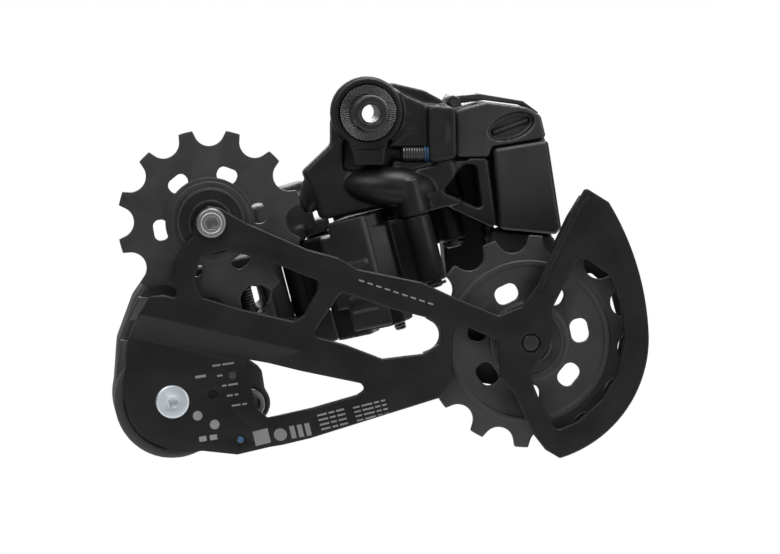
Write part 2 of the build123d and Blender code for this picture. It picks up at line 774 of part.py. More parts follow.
with BuildPart() as inner_cage_plate:
    with BuildSketch(depth(INNER_FACE)):
        add(cage_face())
        add(window(WINDOW_UPPER, 1.2), mode=Mode.SUBTRACT)
        add(window(WINDOW_MIDDLE, 1.4), mode=Mode.SUBTRACT)
        add(window(WINDOW_LOWER, 0.9), mode=Mode.SUBTRACT)
        add(window(FIN_WINDOW, 1.6), mode=Mode.SUBTRACT)
    extrude(amount=-12)
    chamfer(inner_cage_plate.faces().sort_by(Axis.Y)[0].edges(), 0.35)
    add(front_space.part, mode=Mode.SUBTRACT)
    add(step_space(STEP_UPPER, back_profile(STEP_RUN)), mode=Mode.SUBTRACT)
    add(step_space(STEP_LOWER, back_profile(ARM_RUN)), mode=Mode.SUBTRACT)
    add(disc(UPPER, 2.5, -30, 0), mode=Mode.SUBTRACT)
    add(disc(LOWER, 2.5, -30, 0), mode=Mode.SUBTRACT)
    add(disc(LOWER, 2.85, -30, INNER_FACE + 0.8), mode=Mode.SUBTRACT)
    add(disc(PIVOT, 2.0, -30, 0), mode=Mode.SUBTRACT)
    add(disc(PIVOT, 4.7, -30, DEEP_FACE + 0.9), mode=Mode.SUBTRACT)
    add(disc(STOP_PIN, 1.2, -30, 0), mode=Mode.SUBTRACT)
    add(disc(STOP_SCREW, 1.1, -30, 0), mode=Mode.SUBTRACT)
    add(disc(SMALL_HOLE, 1.4, -30, DEEP_FACE + 1.2), mode=Mode.SUBTRACT)
save(inner_cage_plate.part, "inner_cage_plate")

OUTER_TOP = [
    (-47.6, -32.2),
    (-48.6, -28.4),
    (-46.0, -24.8),
    (-42.2, -25.4),
    (-34.2, -29.8),
    (-17.6, -37.0),
    (-9.4, -39.4),
    (-4.2, -42.4),
    (13.0, -46.4),
    (22.0, -50.6),
    (33.8, -55.2),
    (40.2, -52.4),
    (44.6, -45.9),
    (53.2, -28.0),
    (57.0, -21.8),
    (62.4, -25.0),
]
OUTER_BOTTOM = [
    (46.6, -89.6),
    (43.0, -85.0),
    (38.4, -76.0),
    (32.8, -73.6),
    (26.8, -72.6),
    (24.8, -66.0),
    (24.6, -59.4),
    (18.6, -55.6),
    (4.5, -50.8),
    (-8.0, -46.6),
    (-14.6, -43.4),
    (-27.8, -38.4),
    (-40.0, -34.8),
    (-44.6, -33.6),
]

OUTER_FIN_WINDOW = [
    (52.6, -44.0),
    (60.0, -43.4),
    (65.2, -48.0),
    (68.2, -60.0),
    (66.2, -71.0),
    (62.2, -77.4),
    (55.2, -83.4),
    (48.6, -85.6),
    (44.2, -77.0),
    (41.6, -70.0),
    (47.6, -61.5),
    (47.8, -52.2),
]

with BuildPart() as outer_cage_plate:
    with BuildSketch(depth(OUTER_FACE)) as outer_face:
        with BuildLine():
            Polyline(*OUTER_TOP)
            ThreePointArc(OUTER_TOP[-1], (70.3, -41.8), (73.4, -58.0))
            ThreePointArc((73.4, -58.0), (66.7, -80.5), (50.2, -91.9))
            Line((50.2, -91.9), OUTER_BOTTOM[0])
            Polyline(*OUTER_BOTTOM)
            Line(OUTER_BOTTOM[-1], OUTER_TOP[0])
        make_face()
        fillet(outer_face.vertices(), 0.9)
        add(window(OUTER_FIN_WINDOW, 1.6), mode=Mode.SUBTRACT)
        with Locations(UPPER, LOWER):
            Circle(2.5, mode=Mode.SUBTRACT)
    extrude(amount=-PLATE_T)
    chamfer(outer_cage_plate.faces().sort_by(Axis.Y)[-1].edges(), 0.3)
save(outer_cage_plate.part, "outer_cage_plate")

with BuildPart() as cage_stop_pin:
    add(disc(STOP_PIN, 1.2, DEEP_FACE, -9.0))
    chamfer(cage_stop_pin.edges().filter_by(GeomType.CIRCLE), 0.2)
save(cage_stop_pin.part, "cage_stop_pin")

with BuildPart() as cage_stop_screw:
    add(disc(STOP_SCREW, 1.1, DEEP_FACE - 0.5, -10.6))
    chamfer(cage_stop_screw.edges().filter_by(GeomType.CIRCLE), 0.2)
save(cage_stop_screw.part, "cage_stop_screw")

with BuildPart() as cage_pivot_screw:
    add(disc(PIVOT, 4.6, DEEP_FACE - 0.3, DEEP_FACE + 0.9))
    add(disc(PIVOT, 2.0, DEEP_FACE + 0.9, -2.0))
    chamfer(cage_pivot_screw.edges().filter_by(GeomType.CIRCLE).group_by(Axis.Y)[0], 0.4)
    with BuildSketch(depth(DEEP_FACE - 0.3)):
        with Locations(PIVOT):
            RegularPolygon(1.5, 6)
    extrude(amount=-1.6, mode=Mode.SUBTRACT)
save(cage_pivot_screw.part, "cage_pivot_screw")

# =====================================================================
# Pulleys
# =====================================================================
BEARING_R = 8.5
SLEEVE_R = 4.0
BOLT_SHANK = 2.5
FLARE = [(-1.6, -3.9), (0.6, -5.0), (0.6, 5.0), (-1.6, 3.9)]


def pitch_radius(teeth):
    return CHAIN_PITCH / (2 * sin(radians(180 / teeth)))


def pulley(name, centre, teeth, first_tooth, windows, window_circle, window_size, first_window, rim):
    """Toothed wheel with rounded windows and a bearing seat."""
    pitch = pitch_radius(teeth)
    with BuildPart() as wheel:
        with BuildSketch(depth(PULLEY_Y - 1.1)):
            with Locations(centre):
                Circle(pitch + 0.2)
                with PolarLocations(pitch, teeth, start_angle=first_tooth + 180 / teeth):
                    Circle(ROLLER_R + ROOT_GAP, mode=Mode.SUBTRACT)
                with PolarLocations(pitch, teeth, start_angle=first_tooth + 180 / teeth):
                    Polygon(*FLARE, align=None, mode=Mode.SUBTRACT)
                with PolarLocations(window_circle, windows, start_angle=first_window):
                    RectangleRounded(window_size[1], window_size[0], window_size[1] / 2.3, mode=Mode.SUBTRACT)
        extrude(amount=-2.2)
        with BuildSketch(depth(PULLEY_Y - 1.9)):
            with Locations(centre):
                Circle(rim)
                Circle(rim - 1.4, mode=Mode.SUBTRACT)
        extrude(amount=-3.8)
        with BuildSketch(depth(PULLEY_Y - 3.5)):
            with Locations(centre):
                Circle(10.8)
        extrude(amount=-7.0)
        with BuildSketch(depth(PULLEY_Y - 6)):
            with Locations(centre):
                Circle(BEARING_R)
        extrude(amount=-12, mode=Mode.SUBTRACT)
    save(wheel.part, name)


pulley("upper_pulley", UPPER, UPPER_TEETH, 15.3, 6, 13.3, (5.6, 3.9), 9.6, 11.9)
pulley("lower_pulley", LOWER, LOWER_TEETH, 266.2, 7, 14.2, (6.5, 5.0), 12.0, 22.0)


def bearing(name, centre):
    with BuildPart() as ring:
        with BuildSketch(depth(PULLEY_Y - 2.5)):
            with Locations(centre):
                Circle(BEARING_R)
                Circle(SLEEVE_R + RUN, mode=Mode.SUBTRACT)
        extrude(amount=-5.0)
        with BuildSketch(depth(PULLEY_Y - 2.5)):
            with Locations(centre):
                Circle(7.2)
                Circle(5.2, mode=Mode.SUBTRACT)
        extrude(amount=-0.4, mode=Mode.SUBTRACT)
    save(ring.part, name)


def shields(name, centre):
    with BuildPart() as pair:
        for start in (PULLEY_Y - 4.4, PULLEY_Y + 3.8):
            with BuildSketch(depth(start)):
                with Locations(centre):
                    Circle(9.4)
                    Circle(SLEEVE_R, mode=Mode.SUBTRACT)
            extrude(amount=-0.6)
    save(pair.part, name)


def sleeve(name, centre):
    with BuildPart() as tube:
        with BuildSketch(depth(INNER_FACE + PLATE_T)):
            with Locations(centre):
                Circle(SLEEVE_R)
                Circle(BOLT_SHANK, mode=Mode.SUBTRACT)
        extrude(amount=-(OUTER_FACE - INNER_FACE - PLATE_T))
    save(tube.part, name)


for side, centre in (("upper", UPPER), ("lower", LOWER)):
    bearing(side + "_bearing", centre)
    shields(side + "_shields", centre)
    sleeve(side + "_sleeve", centre)

with BuildPart() as upper_pulley_bolt:
    add(disc(UPPER, 4.0, INNER_FACE - 2.0, INNER_FACE))
    add(disc(UPPER, BOLT_SHANK, INNER_FACE, OUTER_FACE + PLATE_T))
    fillet(upper_pulley_bolt.edges().filter_by(GeomType.CIRCLE).group_by(Axis.Y)[0], 0.7)
    with BuildSketch(depth(INNER_FACE - 2.0)):
        with Locations(UPPER):
            RegularPolygon(1.75, 6)
    extrude(amount=-1.8, mode=Mode.SUBTRACT)
save(upper_pulley_bolt.part, "upper_pulley_bolt")

with BuildPart() as lower_pulley_bolt:
    add(disc(LOWER, BOLT_SHANK, INNER_FACE + 0.5, OUTER_FACE + PLATE_T))
    add(disc(LOWER, 4.0, OUTER_FACE + PLATE_T, OUTER_FACE + PLATE_T + 2.0))
    chamfer(lower_pulley_bolt.edges().filter_by(GeomType.CIRCLE).group_by(Axis.Y)[0], 0.5)
    fillet(lower_pulley_bolt.edges().filter_by(GeomType.CIRCLE).group_by(Axis.Y)[-1], 0.7)
    with BuildSketch(depth(OUTER_FACE + PLATE_T + 2.0)):
        with Locations(LOWER):
            RegularPolygon(1.75, 6)
    extrude(amount=1.8, mode=Mode.SUBTRACT)
save(lower_pulley_bolt.part, "lower_pulley_bolt")

# =====================================================================
# Small adjusters and controls
# =====================================================================
with BuildPart() as low_limit_screw:
    add(post(LINKS, LOW_LIMIT, LIMIT_R, -1.0, 13.0))
    chamfer(low_limit_screw.edges().filter_by(GeomType.CIRCLE), 0.3)
    with BuildSketch(LINKS.offset(13.0)):
        with Locations(LOW_LIMIT):
            RegularPolygon(0.9, 6)
    extrude(amount=-2.0, mode=Mode.SUBTRACT)
save(low_limit_screw.part, "low_limit_screw")

with BuildPart() as high_limit_screw:
    add(post(INNER_LINK, HIGH_LIMIT, 1.5, 20.9, 25.6))
    chamfer(high_limit_screw.edges().filter_by(GeomType.CIRCLE), 0.3)
save(high_limit_screw.part, "high_limit_screw")

with BuildPart() as function_button:
    add(disc(MODE_BUTTON, 2.2, 34.6, 37.4))
    fillet(function_button.edges().filter_by(GeomType.CIRCLE).group_by(Axis.Y)[-1], 0.6)
save(function_button.part, "function_button")

with BuildPart() as status_lens:
    add(disc((36.4, -2.0), 0.9, 36.0, 36.5))
save(status_lens.part, "status_lens")
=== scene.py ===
"""Looks for the rear bicycle derailleur: finishes, fine pieces, studio and camera."""

import json
from math import cos, pi, radians, sin

import bmesh
import bpy
from mathutils import Matrix, Vector
from mathutils.bvhtree import BVHTree


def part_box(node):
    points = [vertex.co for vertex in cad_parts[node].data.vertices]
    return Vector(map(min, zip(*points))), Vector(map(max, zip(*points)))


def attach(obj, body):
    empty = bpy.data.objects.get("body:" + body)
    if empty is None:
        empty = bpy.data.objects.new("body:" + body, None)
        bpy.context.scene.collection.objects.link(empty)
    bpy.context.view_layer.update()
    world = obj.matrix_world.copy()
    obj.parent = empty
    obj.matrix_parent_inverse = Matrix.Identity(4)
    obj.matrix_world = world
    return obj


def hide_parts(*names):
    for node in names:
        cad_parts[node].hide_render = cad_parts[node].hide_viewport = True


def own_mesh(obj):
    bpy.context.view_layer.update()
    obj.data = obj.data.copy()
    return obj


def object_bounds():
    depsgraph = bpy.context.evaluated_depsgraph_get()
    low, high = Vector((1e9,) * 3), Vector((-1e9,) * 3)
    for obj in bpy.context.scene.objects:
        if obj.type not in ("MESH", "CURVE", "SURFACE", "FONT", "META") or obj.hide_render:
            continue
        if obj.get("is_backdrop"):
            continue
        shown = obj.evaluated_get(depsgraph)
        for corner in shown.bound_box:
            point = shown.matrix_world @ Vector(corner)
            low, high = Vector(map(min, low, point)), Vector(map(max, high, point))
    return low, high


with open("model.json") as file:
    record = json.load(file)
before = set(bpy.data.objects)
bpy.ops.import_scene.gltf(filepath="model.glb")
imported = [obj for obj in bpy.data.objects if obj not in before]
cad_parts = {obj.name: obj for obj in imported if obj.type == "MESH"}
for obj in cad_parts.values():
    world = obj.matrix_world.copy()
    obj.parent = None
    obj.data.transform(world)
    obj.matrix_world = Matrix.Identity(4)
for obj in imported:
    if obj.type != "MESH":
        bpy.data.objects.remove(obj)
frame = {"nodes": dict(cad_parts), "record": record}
nodes = frame["nodes"]
low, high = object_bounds()

MM = 0.001
UPPER = Vector((-44.0, 0, -28.7)) * MM
LOWER = Vector((42.1, 0, -61.5)) * MM
LINK_TILT = radians(14.6)
STOP_SCREW_X, STOP_SCREW_Z = -35.9, -87.5
BOLT_LIP_Y = -8.5
B_SCREW_Y, B_SCREW_Z = 5.0, -11.4
B_SCREW_PITCH = 0.7
THREAD_HALF = 0.42
THREAD_SINK = 0.04
GRAIN_DEPTH = 0.00002
TINT_LOW, TINT_HIGH = 0.82, 1.18
FLAT_EDGE, SHARP_EDGE = 0.995, 0.86
CREASE = radians(38)
CAST_SWELL = 0.12
ROUND_STEPS = 3
ROUND_FROM = radians(30)


# ---------------------------------------------------------------- materials
def tree(name):
    """New node material: (material, nodes, links, shader, object coordinates)."""
    made = bpy.data.materials.new(name)
    made.use_nodes = True
    graph = made.node_tree
    graph.nodes.clear()
    output = graph.nodes.new("ShaderNodeOutputMaterial")
    shader = graph.nodes.new("ShaderNodeBsdfPrincipled")
    graph.links.new(shader.outputs[0], output.inputs[0])
    where = graph.nodes.new("ShaderNodeTexCoord")
    return made, graph.nodes, graph.links, shader, where.outputs["Object"]


def noise(made, links, where, scale, detail=3.0):
    """Noise factor in object space."""
    field = made.new("ShaderNodeTexNoise")
    field.inputs["Scale"].default_value = scale
    field.inputs["Detail"].default_value = detail
    links.new(where, field.inputs["Vector"])
    return field.outputs["Fac"]


def spread(made, links, value, start, end):
    """Value remapped from the noise's middle band to the range from start to end."""
    node = made.new("ShaderNodeMapRange")
    node.inputs["From Min"].default_value = 0.3
    node.inputs["From Max"].default_value = 0.7
    node.inputs["To Min"].default_value = start
    node.inputs["To Max"].default_value = end
    links.new(value, node.inputs["Value"])
    return node.outputs[0]


def finish(
    name,
    colour,
    metallic=0.0,
    rough=(0.35, 0.5),
    grain=2500.0,
    bump=0.15,
    edge=0.00025,
    wear=None,
    coat=0.0,
    specular=0.5,
):
    """Procedural surface: grain bump, cloudy roughness, soft edges, and edges lightened partly as wear,
    partly as painted highlight.
    """
    made, graph, links, shader, where = tree(name)
    fine = noise(graph, links, where, grain, 4.0)
    cloud = noise(graph, links, where, 90.0, 5.0)
    smear = noise(graph, links, where, 420.0, 6.0)
    shader.inputs["Metallic"].default_value = metallic
    shader.inputs["Coat Weight"].default_value = coat
    shader.inputs["Coat Roughness"].default_value = 0.25
    shader.inputs["Specular IOR Level"].default_value = specular
    mixed = graph.new("ShaderNodeMath")
    mixed.operation = "ADD"
    links.new(spread(graph, links, cloud, rough[0], rough[1]), mixed.inputs[0])
    links.new(spread(graph, links, smear, -0.035, 0.035), mixed.inputs[1])
    links.new(mixed.outputs[0], shader.inputs["Roughness"])
    tint = graph.new("ShaderNodeMix")
    tint.data_type = "RGBA"
    tint.inputs["A"].default_value = [c * TINT_LOW for c in colour] + [1]
    tint.inputs["B"].default_value = [min(1.0, c * TINT_HIGH) for c in colour] + [1]
    links.new(spread(graph, links, cloud, 0.0, 1.0), tint.inputs["Factor"])
    base = tint.outputs["Result"]
    rounded = graph.new("ShaderNodeBevel")
    rounded.samples = 4
    rounded.inputs["Radius"].default_value = edge
    # Edges get a lighter colour in patches: partly worn paint, partly a painted highlight on every
    # edge.
    if wear:
        geometry = graph.new("ShaderNodeNewGeometry")
        turned = graph.new("ShaderNodeVectorMath")
        turned.operation = "DOT_PRODUCT"
        links.new(geometry.outputs["Normal"], turned.inputs[0])
        links.new(rounded.outputs[0], turned.inputs[1])
        edges = graph.new("ShaderNodeMapRange")
        edges.inputs["From Min"].default_value = FLAT_EDGE
        edges.inputs["From Max"].default_value = SHARP_EDGE
        links.new(turned.outputs["Value"], edges.inputs["Value"])
        patchy = graph.new("ShaderNodeMath")
        patchy.operation = "MULTIPLY"
        links.new(edges.outputs[0], patchy.inputs[0])
        links.new(spread(graph, links, smear, 0.0, 0.7), patchy.inputs[1])
        worn_and_lit = graph.new("ShaderNodeMix")
        worn_and_lit.data_type = "RGBA"
        worn_and_lit.inputs["B"].default_value = list(wear) + [1]
        links.new(base, worn_and_lit.inputs["A"])
        links.new(patchy.outputs[0], worn_and_lit.inputs["Factor"])
        base = worn_and_lit.outputs["Result"]
    links.new(base, shader.inputs["Base Color"])
    relief = graph.new("ShaderNodeBump")
    relief.inputs["Strength"].default_value = bump
    relief.inputs["Distance"].default_value = GRAIN_DEPTH
    links.new(fine, relief.inputs["Height"])
    links.new(rounded.outputs[0], relief.inputs["Normal"])
    links.new(relief.outputs[0], shader.inputs["Normal"])
    return made


def pale_floor():
    """Even matt white, with its roughness varied a little."""
    made, graph, links, shader, where = tree("floor_pale")
    shader.inputs["Base Color"].default_value = (0.86, 0.86, 0.86, 1)
    shader.inputs["Specular IOR Level"].default_value = 0.2
    cloud = noise(graph, links, where, 40.0)
    links.new(spread(graph, links, cloud, 0.8, 0.9), shader.inputs["Roughness"])
    return made


FINISHES = {}


def add_finish(name, colour, **more):
    """Keeps a finish under its name."""
    FINISHES[name] = finish(name, colour, **more)


add_finish(
    "cast_black",
    (0.0048, 0.0049, 0.005),
    rough=(0.34, 0.48),
    grain=3200,
    bump=0.35,
    wear=(0.026, 0.026, 0.027),
    specular=0.23,
)
add_finish(
    "cage_black",
    (0.006, 0.006, 0.0061),
    rough=(0.36, 0.48),
    grain=3800,
    bump=0.25,
    wear=(0.036, 0.036, 0.036),
    specular=0.17,
)
add_finish(
    "housing_grey",
    (0.018, 0.018, 0.0185),
    rough=(0.4, 0.55),
    grain=3000,
    bump=0.35,
    wear=(0.06, 0.06, 0.06),
    specular=0.36,
)
add_finish(
    "pulley_black",
    (0.011, 0.011, 0.012),
    rough=(0.38, 0.5),
    grain=3600,
    bump=0.2,
    wear=(0.04, 0.04, 0.042),
    specular=0.42,
)
add_finish(
    "dark_steel",
    (0.07, 0.07, 0.072),
    metallic=0.9,
    rough=(0.3, 0.42),
    grain=2600,
    bump=0.12,
    edge=0.0001,
)
add_finish(
    "ring_steel",
    (0.2, 0.2, 0.2),
    metallic=1.0,
    rough=(0.3, 0.42),
    grain=2600,
    bump=0.15,
    edge=0.0001,
)
add_finish(
    "zinc",
    (0.5, 0.54, 0.57),
    metallic=0.85,
    rough=(0.34, 0.46),
    grain=1500,
    bump=0.2,
    edge=0.00015,
)
add_finish(
    "spring_steel",
    (0.35, 0.35, 0.36),
    metallic=1.0,
    rough=(0.2, 0.3),
    grain=2600,
    bump=0.1,
    edge=0.0001,
)
add_finish(
    "bolt_black",
    (0.012, 0.012, 0.013),
    metallic=0.2,
    rough=(0.26, 0.36),
    grain=2800,
    wear=(0.08, 0.08, 0.08),
    specular=0.4,
)
add_finish("bushing_plastic", (0.05, 0.05, 0.05), rough=(0.5, 0.6), grain=2000, bump=0.2)
add_finish(
    "battery_shell",
    (0.01, 0.0104, 0.011),
    rough=(0.4, 0.52),
    grain=5200,
    bump=0.5,
    specular=0.3,
)
add_finish(
    "latch_plastic",
    (0.016, 0.016, 0.017),
    rough=(0.34, 0.46),
    grain=4200,
    bump=0.35,
    specular=0.36,
)
add_finish(
    "moulded_black",
    (0.015, 0.015, 0.0155),
    rough=(0.42, 0.55),
    grain=4600,
    bump=0.45,
    specular=0.42,
)
add_finish(
    "button_rubber",
    (0.014, 0.014, 0.014),
    rough=(0.6, 0.75),
    grain=2600,
    bump=0.3,
    specular=0.35,
)
add_finish("clear_lens", (0.35, 0.38, 0.4), rough=(0.08, 0.14), grain=2000, bump=0.05, coat=0.5)
add_finish("gold", (0.75, 0.52, 0.2), metallic=1.0, rough=(0.2, 0.3), grain=2000, bump=0.08)
add_finish("board_green", (0.02, 0.09, 0.04), rough=(0.25, 0.35), grain=2600, coat=0.3)
add_finish("blue_patch", (0.012, 0.07, 0.17), rough=(0.5, 0.65), grain=2600, bump=0.5)
add_finish("print_grey", (0.13, 0.13, 0.13), rough=(0.5, 0.6), grain=3000, bump=0.1, edge=0.00002)
add_finish(
    "seal_black",
    (0.006, 0.006, 0.0062),
    rough=(0.3, 0.4),
    grain=3000,
    bump=0.2,
    specular=0.3,
)
# Lighter, glossier copy of the cast black for the battery mount's cap: painted highlight on its upward
# faces.
add_finish(
    "cap_black_painted_highlight",
    (0.012, 0.0121, 0.0125),
    rough=(0.34, 0.46),
    grain=4200,
    bump=0.4,
    wear=(0.04, 0.04, 0.04),
    specular=0.4,
)
add_finish(
    "bolt_grey",
    (0.14, 0.14, 0.14),
    metallic=0.7,
    rough=(0.3, 0.42),
    grain=2600,
    bump=0.15,
    edge=0.0001,
)
# Lighter, less metallic copy of steel for the low limit screw's thread and the ring on the upper pulley
# bolt: painted reflection.
add_finish(
    "steel_painted_reflection",
    (0.3, 0.3, 0.31),
    metallic=0.4,
    rough=(0.3, 0.42),
    grain=2600,
    bump=0.1,
    edge=0.0001,
)

RECORD = frame["record"]
SLOTS = {entry["node"]: entry["material_slot"] for entry in RECORD["subparts"]}
for name, node in nodes.items():
    node.data.materials.clear()
    node.data.materials.append(FINISHES[SLOTS[name]])


# ---------------------------------------------------------------- piece makers
BODY_OF = {
    node: body
    for body, listed in RECORD["behaviour"]["bodies"].items()
    for node in listed
}


def add_object(name, shape, finish_name, body, sharp=radians(32), stands_for=()):
    """Turns a bmesh into a piece that rides on a body, with smooth faces and sharp creases."""
    for face in shape.faces:
        face.smooth = True
    for edge in shape.edges:
        if len(edge.link_faces) == 2 and edge.calc_face_angle(0.0) > sharp:
            edge.smooth = False
    data = bpy.data.meshes.new(name)
    shape.to_mesh(data)
    shape.free()
    piece = bpy.data.objects.new(name, data)
    bpy.context.scene.collection.objects.link(piece)
    data.materials.append(FINISHES[finish_name])
    if stands_for:
        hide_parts(*stands_for)
    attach(piece, body)
    return piece


def axis_frame(centre, along):
    """Matrix whose Z is the given axis, placed at the centre."""
    turn = Vector(along).normalized().to_track_quat("Z", "Y").to_matrix().to_4x4()
    return Matrix.Translation(Vector(centre) * MM) @ turn


def lathe(name, profile, centre, along, finish_name, body, steps=96, **more):
    """Turned piece; the closed profile lists (distance along the axis, radius) in mm."""
    shape = bmesh.new()
    place = axis_frame(centre, along)
    rings = []
    for height, radius in profile:
        ring = []
        for k in range(steps):
            angle = 2 * pi * k / steps
            local = Vector((radius * cos(angle), radius * sin(angle), height)) * MM
            ring.append(shape.verts.new(place @ local))
        rings.append(ring)
    for first, second in zip(rings, rings[1:] + rings[:1]):
        for k in range(steps):
            after = (k + 1) % steps
            shape.faces.new((first[k], first[after], second[after], second[k]))
    bmesh.ops.recalc_face_normals(shape, faces=shape.faces)
    return add_object(name, shape, finish_name, body, **more)


def thread(name, centre, along, radius, pitch, length, height, finish_name, body):
    """Helical ridge standing on a plain shank."""
    shape = bmesh.new()
    place = axis_frame(centre, along)
    per_turn = 40
    count = int(per_turn * (length - pitch) / pitch)
    foot = THREAD_HALF * pitch
    section = ((-foot, -THREAD_SINK), (0.0, height), (foot, -THREAD_SINK))
    rows = []
    for k in range(count + 1):
        angle = 2 * pi * k / per_turn
        fade = min(1.0, k / 10, (count - k) / 10)
        row = []
        for shift, lift in section:
            reach = radius + (lift * fade if lift > 0 else lift)
            rise = pitch * k / per_turn + shift + pitch / 2
            local = Vector((reach * cos(angle), reach * sin(angle), rise))
            row.append(shape.verts.new(place @ (local * MM)))
        rows.append(row)
    for first, second in zip(rows, rows[1:]):
        for k in range(3):
            after = (k + 1) % 3
            shape.faces.new((first[k], first[after], second[after], second[k]))
    shape.faces.new(rows[0])
    shape.faces.new(rows[-1][::-1])
    bmesh.ops.recalc_face_normals(shape, faces=shape.faces)
    return add_object(name, shape, finish_name, body)


def bevelled(node, width, finish_name=None):
    """Stand-in for a CAD node with its sharp edges rounded in the mesh."""
    source = nodes[node]
    shape = bmesh.new()
    shape.from_mesh(source.data)
    bmesh.ops.remove_doubles(shape, verts=shape.verts, dist=0.000002)
    bmesh.ops.dissolve_limit(shape, angle_limit=radians(0.8), verts=shape.verts, edges=shape.edges)
    data = bpy.data.meshes.new(node + "_look")
    shape.to_mesh(data)
    shape.free()
    piece = bpy.data.objects.new(node + "_look", data)
    bpy.context.scene.collection.objects.link(piece)
    round_off = piece.modifiers.new("round", "BEVEL")
    round_off.width = width * MM
    round_off.segments = ROUND_STEPS
    round_off.limit_method = "ANGLE"
    round_off.angle_limit = ROUND_FROM
    round_off.harden_normals = False
    settle(piece)
    dress(piece, node)
    if finish_name:
        piece.data.materials[0] = FINISHES[finish_name]
    return piece


def settle(piece):
    """Applies the modifiers and shades the result."""
    bpy.context.view_layer.update()
    seen = piece.evaluated_get(bpy.context.evaluated_depsgraph_get())
    data = bpy.data.meshes.new_from_object(seen)
    piece.modifiers.clear()
    piece.data = data
    shape = bmesh.new()
    shape.from_mesh(data)
    for face in shape.faces:
        face.smooth = True
    for edge in shape.edges:
        edge.smooth = len(edge.link_faces) != 2 or edge.calc_face_angle(0.0) < CREASE
    shape.to_mesh(data)
    shape.free()


def dress(piece, node):
    """Gives a stand-in its node's finish, body and slot."""
    piece.data.materials.clear()
    piece.data.materials.append(FINISHES[SLOTS[node]])
    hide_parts(node)
    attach(piece, BODY_OF[node])
    return piece


def lump(shape, centre, radii, lean=0.0):
    """Ellipsoid in mm merged into a casting; lean turns it about Y."""
    ball = bmesh.ops.create_icosphere(shape, subdivisions=4, radius=1.0)
    place = (
        Matrix.Translation(Vector(centre) * MM)
        @ Matrix.Rotation(radians(lean), 4, "Y")
        @ Matrix.Diagonal(Vector((*radii, 1 / MM)) * MM)
    )
    bmesh.ops.transform(shape, matrix=place, verts=ball["verts"])


def bar(shape, start, end, radius):
    """Round-ended bar in mm merged into a casting."""
    start, end = Vector(start), Vector(end)
    reach = (end - start).length
    made = bmesh.ops.create_cone(
        shape, cap_ends=True, segments=24, radius1=radius * MM, radius2=radius * MM, depth=reach * MM
    )
    place = axis_frame((start + end) / 2, end - start)
    bmesh.ops.transform(shape, matrix=place, verts=made["verts"])
    for tip in (start, end):
        lump(shape, tip, (radius, radius, radius))


def casting(node, voxel, rounds, extras=()):
    """Stand-in for a CAD casting: merged with its lumps and ribs, then smoothed as a cast skin."""
    shape = bmesh.new()
    shape.from_mesh(nodes[node].data)
    for maker, *values in extras:
        maker(shape, *values)
    data = bpy.data.meshes.new(node + "_cast")
    shape.to_mesh(data)
    shape.free()
    piece = bpy.data.objects.new(node + "_cast", data)
    bpy.context.scene.collection.objects.link(piece)
    skin = piece.modifiers.new("skin", "REMESH")
    skin.mode = "VOXEL"
    skin.voxel_size = voxel * MM
    soft = piece.modifiers.new("soft", "SMOOTH")
    soft.factor = 0.5
    soft.iterations = rounds
    swell = piece.modifiers.new("swell", "DISPLACE")
    swell.mid_level = 0.0
    swell.strength = CAST_SWELL * MM
    settle(piece)
    for face in piece.data.polygons:
        face.use_smooth = True
    return dress(piece, node)


# ---------------------------------------------------------------- castings and rounded parts
# Bulge, column, nose and ribs added to the knuckle; the column crosses the B screw's bore.
KNUCKLE_SHAPES = [
    (lump, (6.6, 5.6, -20.3), (13.0, 7.0, 5.4), 4),
    (lump, (20.6, 4.0, -5.8), (3.7, 3.0, 8.4), 0),
    (lump, (-14.6, 9.6, -21.6), (3.2, 4.6, 6.2), 12),
    (bar, (7.4, 12.6, 7.2), (20.0, 12.6, 3.2), 0.7),
    (bar, (7.8, 5.4, 5.8), (18.0, 5.8, -2.2), 0.7),
    (bar, (6.4, 4.9, -9.2), (10.4, 4.8, -5.2), 0.6),
    (bar, (10.4, 4.8, -5.2), (14.2, 5.0, -4.6), 0.6),
    (bar, (15.0, 5.4, -18.2), (25.0, 6.6, -15.0), 0.8),
    (bar, (15.0, 5.4, -19.4), (32.6, 6.6, -28.4), 0.9),
    (bar, (-14.6, 5.4, -17.4), (3.0, 5.2, -22.8), 0.9),
    (bar, (24.2, 13.0, -0.6), (24.4, 13.0, -11.4), 1.4),
]
# Lips that close the seams round the battery; they reach into its space.
MOUNT_SHAPES = [
    (bar, (25.0, 14.0, -12.6), (33.0, 14.0, -12.6), 1.2),
    (bar, (35.4, 10.0, -9.9), (48.6, 10.0, -7.9), 1.1),
    (bar, (37.0, 12.0, -33.2), (50.6, 12.0, -34.6), 1.3),
]
casting("b_knuckle", 0.4, 11, KNUCKLE_SHAPES)
# The battery mount takes the lighter cap copy of the cast black, a painted highlight.
casting("battery_mount", 0.35, 3, MOUNT_SHAPES).data.materials[0] = FINISHES["cap_black_painted_highlight"]
casting("p_knuckle", 0.45, 7)
casting("outer_link", 0.4, 8)
casting("gearbox_housing", 0.4, 6)
casting("gearbox_cover", 0.3, 4)
casting("b_stop_plate", 0.25, 4)

ROUNDED = {
    "battery": 1.2,
    "battery_latch": 0.35,
    "upper_pulley": 0.3,
    "lower_pulley": 0.3,
    "inner_cage_plate": 0.3,
    "outer_cage_plate": 0.3,
    "clutch_cover": 0.3,
    "cage_lock_button": 0.35,
    "lower_pulley_bolt": 0.2,
    "cage_pivot_screw": 0.2,
    "function_button": 0.3,
}
for node, width in ROUNDED.items():
    bevelled(node, width)
bevelled("upper_pulley_bolt", 0.25, "bolt_grey")
bevelled("upper_shields", 0.15, "seal_black")
bevelled("lower_shields", 0.15, "seal_black")

